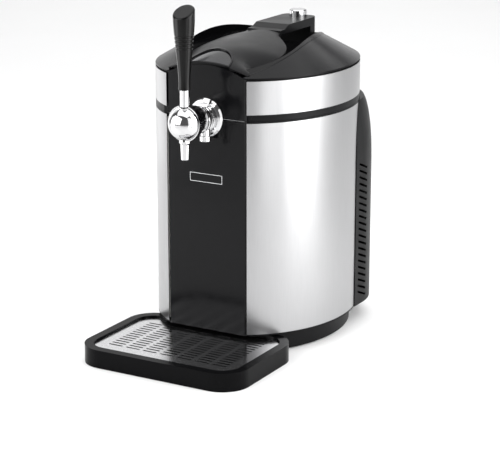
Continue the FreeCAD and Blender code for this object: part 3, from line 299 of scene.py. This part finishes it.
def circuit_board():
    """Green solder mask over square copper runs."""
    graph = Graph("circuit_board")
    upright = (math.pi / 2, 0, 0)
    place = graph.add("Mapping", {"Vector": graph.coordinates, "Rotation": upright}).outputs["Vector"]
    runs = graph.add("TexBrick", {"Vector": place, "Scale": 90.0, "Mortar Size": 0.03}).outputs["Fac"]
    return graph.finish({
        "Base Color": graph.blend(runs, (0.02, 0.13, 0.05), (0.07, 0.27, 0.11)),
        "Roughness": graph.between(runs, 0.3, 0.45, 0.0, 1.0),
        "Normal": graph.bump(runs, 0.2, 0.00004),
    })


def milky_hose():
    """Translucent tube with faint clouds."""
    graph = Graph("milky_hose")
    clouds = graph.noise(even(180), detail=3.0)
    return graph.finish({
        "Base Color": graph.blend(clouds, (0.78, 0.8, 0.8), (0.88, 0.9, 0.9)),
        "Roughness": graph.between(clouds, 0.2, 0.3),
        "Transmission Weight": 0.55,
        "Subsurface Weight": 0.1,
        "Normal": graph.bump(clouds, 0.05, 0.0001),
    })


def smoked_lens():
    """The tinted window over the display. Its colour is painted paler towards the front: painted light
    where light comes through.
    """
    graph = Graph("smoked_lens")
    parts = graph.add("SeparateXYZ", {"Vector": graph.coordinates})
    # Painted light: the base colour runs from paler at the window's front to darker at its back.
    painted_light_slope = graph.between(parts.outputs["Y"], 0.0, 1.0, -0.132, -0.104)
    haze = graph.noise(even(120), detail=3.0)
    return graph.finish({
        "Base Color": graph.blend(painted_light_slope, (0.03, 0.03, 0.033), (0.006, 0.006, 0.007)),
        "Specular IOR Level": 0.25,
        "Roughness": graph.between(haze, 0.12, 0.2),
        "Coat Weight": 0.12,
        "Coat Roughness": 0.05,
    })


def spring_wire():
    """Drawn steel wire, also for the screws."""
    graph = Graph("spring_wire")
    lines = graph.noise(even(1500), detail=3.0)
    return graph.finish({
        "Base Color": graph.blend(lines, (0.42, 0.42, 0.43), (0.58, 0.58, 0.59)),
        "Metallic": 1.0,
        "Roughness": graph.between(lines, 0.22, 0.34),
        "Normal": graph.bump(lines, 0.08, 0.00003),
    })


def outline_and_painted_highlight():
    """Pale and matt, for the blank plate's outline and for the painted highlight in the parting line."""
    graph = Graph("outline_and_painted_highlight")
    wear = graph.noise(even(700), detail=3.0)
    return graph.finish({
        "Base Color": graph.blend(wear, (0.55, 0.56, 0.57), (0.68, 0.69, 0.7)),
        "Roughness": graph.between(wear, 0.4, 0.5),
    })


def studio_floor():
    """Plain pale paper."""
    graph = Graph("studio_floor")
    mottle = graph.noise(even(3), detail=4.0)
    return graph.finish({
        "Base Color": graph.blend(mottle, even(0.84), even(0.87)),
        "Roughness": graph.between(mottle, 0.75, 0.85),
        "Specular IOR Level": 0.1,
    })


MATERIALS = {
    "black_gloss": gloss_plastic("black_gloss", (0.003, 0.003, 0.0035), 0.14),
    "black_satin": moulded_plastic("black_satin", (0.004, 0.004, 0.0044), 0.34),
    "steel": brushed_steel(),
    "polished_steel": polished_steel(),
    "chrome": chrome(),
    "aluminium": aluminium(),
    "rubber": rubber(),
    "foam": bead_foam(),
    "ceramic": ceramic(),
    "board": circuit_board(),
    "clear_hose": milky_hose(),
    "smoked_lens": smoked_lens(),
    "spring_steel": spring_wire(),
}

# Pieces whose look differs from their slot's common one.
SPECIAL = {
    "lid_dome": gloss_plastic("dome_plastic", (0.003, 0.003, 0.0035), 0.2, 0.14),
    "lid_well": gloss_plastic("well_plastic", (0.002, 0.002, 0.0024), 0.22, 0.14),
    "lid_spine": moulded_plastic("spine_plastic", (0.006, 0.006, 0.0065), 0.3, 3000, 0.06),
    "lid_handle": moulded_plastic("handle_plastic", (0.004, 0.004, 0.0044), 0.3, 3000, 0.06),
    "tap_handle": gloss_plastic("lever_plastic", (0.002, 0.002, 0.002), 0.18, 0.2),
    "drip_tray": gloss_plastic("tray_plastic", (0.002, 0.002, 0.0023), 0.16, 0.06),
    "rear_cover": moulded_plastic("cover_plastic", (0.003, 0.003, 0.0033), 0.36),
}


def paint(thing, material):
    thing.data.materials.clear()
    thing.data.materials.append(material)


for part in frame["record"]["subparts"]:
    paint(NODES[part["node"]], SPECIAL.get(part["node"], MATERIALS[part["material_slot"]]))


# Mesh helpers for the pieces that CAD keeps plain

def new_piece(name, points, faces, slot, body):
    """A mesh piece, painted with its slot's material, that rides on a body."""
    mesh = bpy.data.meshes.new(name)
    mesh.from_pydata([tuple(point) for point in points], [], faces)
    mesh.update()
    mesh.shade_smooth()
    mesh.set_sharp_from_angle(angle=SHARP_FROM)
    thing = bpy.data.objects.new(name, mesh)
    bpy.context.scene.collection.objects.link(thing)
    paint(thing, MATERIALS[slot])
    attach(thing, body)
    return thing


def ring_faces(rings, sides):
    """The quads between rings of points, each ring above the one before."""
    faces = []
    for ring in range(rings - 1):
        for side in range(sides):
            a = ring * sides + side
            b = ring * sides + (side + 1) % sides
            faces.append((a, b, b + sides, a + sides))
    return faces


def closed_faces(rings, sides):
    """The quads between rings of points, with a cap on the first ring and on the last."""
    last = (rings - 1) * sides
    caps = [tuple(reversed(range(sides))), tuple(range(last, last + sides))]
    return ring_faces(rings, sides) + caps


def tube_mesh(path, radius, sides=10):
    """Points and faces of a tube along a path, its ends closed."""
    points = []
    up = Vector((0.3, 0.2, 0.93)).normalized()
    for index, spot in enumerate(path):
        before = path[max(index - 1, 0)]
        after = path[min(index + 1, len(path) - 1)]
        along = (after - before).normalized()
        across = along.cross(up).normalized()
        up = across.cross(along).normalized()
        for side in range(sides):
            angle = 2 * math.pi * side / sides
            points.append(spot + radius * (math.cos(angle) * across + math.sin(angle) * up))
    return points, closed_faces(len(path), sides)


def turned_mesh(outline, sides=24):
    """A solid turned about Z from an outline of radii and heights, closed at both ends."""
    points = []
    for radius, height in outline:
        for side in range(sides):
            angle = 2 * math.pi * side / sides
            points.append(Vector((radius * math.cos(angle), radius * math.sin(angle), height)))
    return points, closed_faces(len(outline), sides)


def box_mesh(low, high, bevel):
    """A box with chamfered edges."""
    low = Vector(low)
    high = Vector(high)
    points = []
    for level, inset in ((low.z, bevel), (low.z + bevel, 0), (high.z - bevel, 0), (high.z, bevel)):
        left, right = low.x + inset, high.x - inset
        front, back = low.y + inset, high.y - inset
        corners = (
            (left + bevel, front), (right - bevel, front),
            (right, front + bevel), (right, back - bevel),
            (right - bevel, back), (left + bevel, back),
            (left, back - bevel), (left, front + bevel),
        )
        points += [Vector((x, y, level)) for x, y in corners]
    return points, closed_faces(4, 8)


def facing(points, direction, spot):
    """Turn points that stand along Z to face a direction, and move them to a spot."""
    turn = Vector((0, 0, 1)).rotation_difference(Vector(direction)).to_matrix()
    return [turn @ point + Vector(spot) for point in points]


# Pieces that CAD keeps plain or leaves out, and a painted highlight in the parting line

def make_spring():
    """The coil of the button's spring, with one flat turn at each end."""
    low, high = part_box("button_spring")
    middle = (low + high) / 2
    reach = (high.x - low.x) / 2 - SPRING_WIRE
    rise = high.z - low.z - 2 * SPRING_WIRE
    steps = 24 * SPRING_TURNS
    path = []
    for step in range(steps + 1):
        turned = SPRING_TURNS * step / steps
        climb = min(max((turned - 1) / (SPRING_TURNS - 2), 0), 1)
        angle = 2 * math.pi * turned
        across = middle.x + reach * math.cos(angle)
        back = middle.y + reach * math.sin(angle)
        path.append(Vector((across, back, low.z + SPRING_WIRE + climb * rise)))
    points, faces = tube_mesh(path, SPRING_WIRE)
    coil = new_piece("spring_coil", points, faces, "spring_steel", "lid")
    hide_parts("button_spring")
    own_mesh(coil)


def surface_y(node, across, level):
    """How far back a node reaches at a place."""
    far_behind = 1
    hit, spot, _, _ = NODES[node].ray_cast(Vector((across, far_behind, level)), Vector((0, -1, 0)))
    return spot.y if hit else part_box(node)[1].y


def make_screw(name, spot, direction, radius, body):
    """A pan head with a round socket."""
    shares = ((1, 0), (1, 0.4), (0.92, 0.6), (0.7, 0.72), (0.42, 0.76), (0.38, 0.3))
    points, faces = turned_mesh([(radius * out, radius * up) for out, up in shares])
    new_piece(name, facing(points, direction, spot), faces, "spring_steel", body)


def make_cover_screws():
    places = [(side * SCREW_ACROSS, level) for side in (-1, 1) for level in SCREW_LEVELS]
    for number, (across, level) in enumerate(places, 1):
        spot = (across, surface_y("rear_cover", across, level), level)
        make_screw(f"cover_screw_{number}", spot, (0, 1, 0), SCREW_RADIUS, "cabinet")


def make_badge_outline():
    """A thin raised frame round the blank plate."""
    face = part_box("front_panel")[0].y
    left, right = BADGE_X
    low, high = BADGE_Z
    points = []
    for depth in (face - BADGE_PROUD, face + BADGE_SUNK):
        for inset in (0, BADGE_LINE):
            points += [
                Vector((left + inset, depth, low + inset)),
                Vector((right - inset, depth, low + inset)),
                Vector((right - inset, depth, high - inset)),
                Vector((left + inset, depth, high - inset)),
            ]
    faces = []
    for side in range(4):
        after = (side + 1) % 4
        faces.append((side, after, 4 + after, 4 + side))
        faces.append((8 + after, 8 + side, 12 + side, 12 + after))
        faces.append((after, side, 8 + side, 8 + after))
        faces.append((4 + side, 4 + after, 12 + after, 12 + side))
    outline = new_piece("badge_outline", points, faces, "polished_steel", "cabinet")
    paint(outline, outline_and_painted_highlight())


# Painted highlight: a pale strip on each side of the tap that stands for the gleam along the parting line.
def make_seam_highlight():
    low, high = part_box("front_panel")
    pale = outline_and_painted_highlight()
    for name, start, stop in (("left", -HIGHLIGHT_TO, -HIGHLIGHT_FROM), ("right", HIGHLIGHT_FROM, HIGHLIGHT_TO)):
        front_corner = (start, low.y + HIGHLIGHT_SET_BACK, high.z + HIGHLIGHT_ABOVE[0])
        back_corner = (stop, low.y + HIGHLIGHT_DEPTH, high.z + HIGHLIGHT_ABOVE[1])
        points, faces = box_mesh(front_corner, back_corner, HIGHLIGHT_BEVEL)
        paint(new_piece(f"seam_highlight_{name}", points, faces, "rubber", "cabinet"), pale)


def make_board_parts():
    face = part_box("control_board")[1].y
    for number, (x, z, width, tall, deep) in enumerate(CHIPS, 1):
        near = (x * MM, face, z * MM)
        far = ((x + width) * MM, face + deep * MM, (z + tall) * MM)
        points, faces = box_mesh(near, far, CHIP_BEVEL)
        new_piece(f"board_chip_{number}", points, faces, "black_satin", "cabinet")
    for number, (x, z) in enumerate(CANS, 1):
        points, faces = turned_mesh(CAN_OUTLINE)
        placed = facing(points, (0, 1, 0), (x * MM, face, z * MM))
        new_piece(f"board_can_{number}", placed, faces, "aluminium", "cabinet")


make_spring()
make_cover_screws()
make_badge_outline()
make_seam_highlight()
make_board_parts()


# Studio: floor, world, lights and camera

def make_floor():
    """A disc of rings that lie closer together near the object."""
    points = []
    rings = 24
    sides = 64
    for ring in range(rings + 1):
        radius = FLOOR_RADIUS * (ring / rings) ** 1.6 + 0.001
        for side in range(sides):
            angle = 2 * math.pi * side / sides
            points.append((radius * math.cos(angle), radius * math.sin(angle), 0))
    upward = [tuple(reversed(face)) for face in ring_faces(rings + 1, sides)]
    mesh = bpy.data.meshes.new("floor")
    mesh.from_pydata(points, [], upward + [tuple(range(sides))])
    floor = bpy.data.objects.new("floor", mesh)
    bpy.context.scene.collection.objects.link(floor)
    paint(floor, studio_floor())


def make_world():
    """A dim grey room with a low pale wall behind the object."""
    world = bpy.data.worlds.new("studio")
    bpy.context.scene.world = world
    world.use_nodes = True
    tree = world.node_tree
    tree.nodes.clear()
    direction = add_node(tree, "TexCoord").outputs["Generated"]
    parts = add_node(tree, "SeparateXYZ", {"Vector": direction})
    levels = {"Value": parts.outputs["Z"], "From Min": 0.33, "From Max": 0.5, "To Min": 1.0, "To Max": 0.0}
    low = add_node(tree, "MapRange", levels).outputs["Result"]
    behind = add_node(tree, "VectorMath", {0: direction, 1: WALL_DIRECTION}, operation="DOT_PRODUCT")
    share = add_node(tree, "Math", {0: behind.outputs["Value"], 1: low}, operation="MULTIPLY")
    ramp = add_node(tree, "ValToRGB", {"Fac": share.outputs["Value"]})
    grey, pale = ramp.color_ramp.elements
    grey.position = 0.35
    grey.color = ROOM_GREY
    pale.position = 0.85
    pale.color = WALL_PALE
    background = add_node(tree, "Background", {"Color": ramp.outputs["Color"], "Strength": 1.0})
    add_node(tree, "OutputWorld", {"Surface": background.outputs["Background"]})


def make_light(name, spot, target, width, height, radiance):
    """A softbox of an even radiance, which the camera doesn't see."""
    light = bpy.data.lights.new(name, "AREA")
    light.shape = "RECTANGLE"
    light.size = width
    light.size_y = height
    light.energy = radiance * math.pi * width * height
    thing = bpy.data.objects.new(name, light)
    thing.location = spot
    thing.rotation_euler = (Vector(target) - Vector(spot)).to_track_quat("-Z", "Y").to_euler()
    thing.visible_camera = False
    bpy.context.scene.collection.objects.link(thing)


def make_lights():
    """Two boxes overhead, one on each side, and narrow ones for the gleams on steel and tap."""
    middle = (0, 0, 0.3)
    tap = (0, -0.19, 0.3)
    make_light("overhead", (0.0, 0.2, 3.0), (0, 0.2, 0), 4.0, 4.0, 1.7)
    make_light("far_overhead", (-1.8, 3.2, 3.0), (-1.8, 3.2, 0), 4.0, 3.0, 2.2)
    make_light("right_box", (2.2, 0.1, 0.9), middle, 2.4, 1.8, 2.8)
    make_light("left_box", (-1.1, -2.0, 1.2), middle, 2.8, 2.0, 2.6)
    make_light("right_strip", (0.65, -0.01, 0.5), middle, 0.4, 1.0, 3.2)
    make_light("front_strip", (0.74, -0.52, 0.5), middle, 0.3, 1.0, 1.3)
    make_light("left_strip", (-0.8, 0.2, 0.5), middle, 0.5, 1.0, 0.9)
    make_light("tap_strip", (-0.6, -0.56, 0.35), tap, 0.45, 0.7, 2.5)


def make_camera():
    camera = bpy.data.cameras.new("camera")
    camera.sensor_width = CAMERA_SENSOR
    camera.sensor_fit = "HORIZONTAL"
    camera.lens = CAMERA_LENS
    camera.clip_start = 0.05
    camera.clip_end = 60.0
    thing = bpy.data.objects.new("camera", camera)
    thing.location = CAMERA_PLACE
    thing.rotation_euler = (math.pi / 2 - CAMERA_DOWN, 0, CAMERA_ROUND)
    bpy.context.scene.collection.objects.link(thing)
    bpy.context.scene.camera = thing


make_floor()
make_world()
make_lights()
make_camera()
bpy.context.scene.view_settings.view_transform = "Standard"
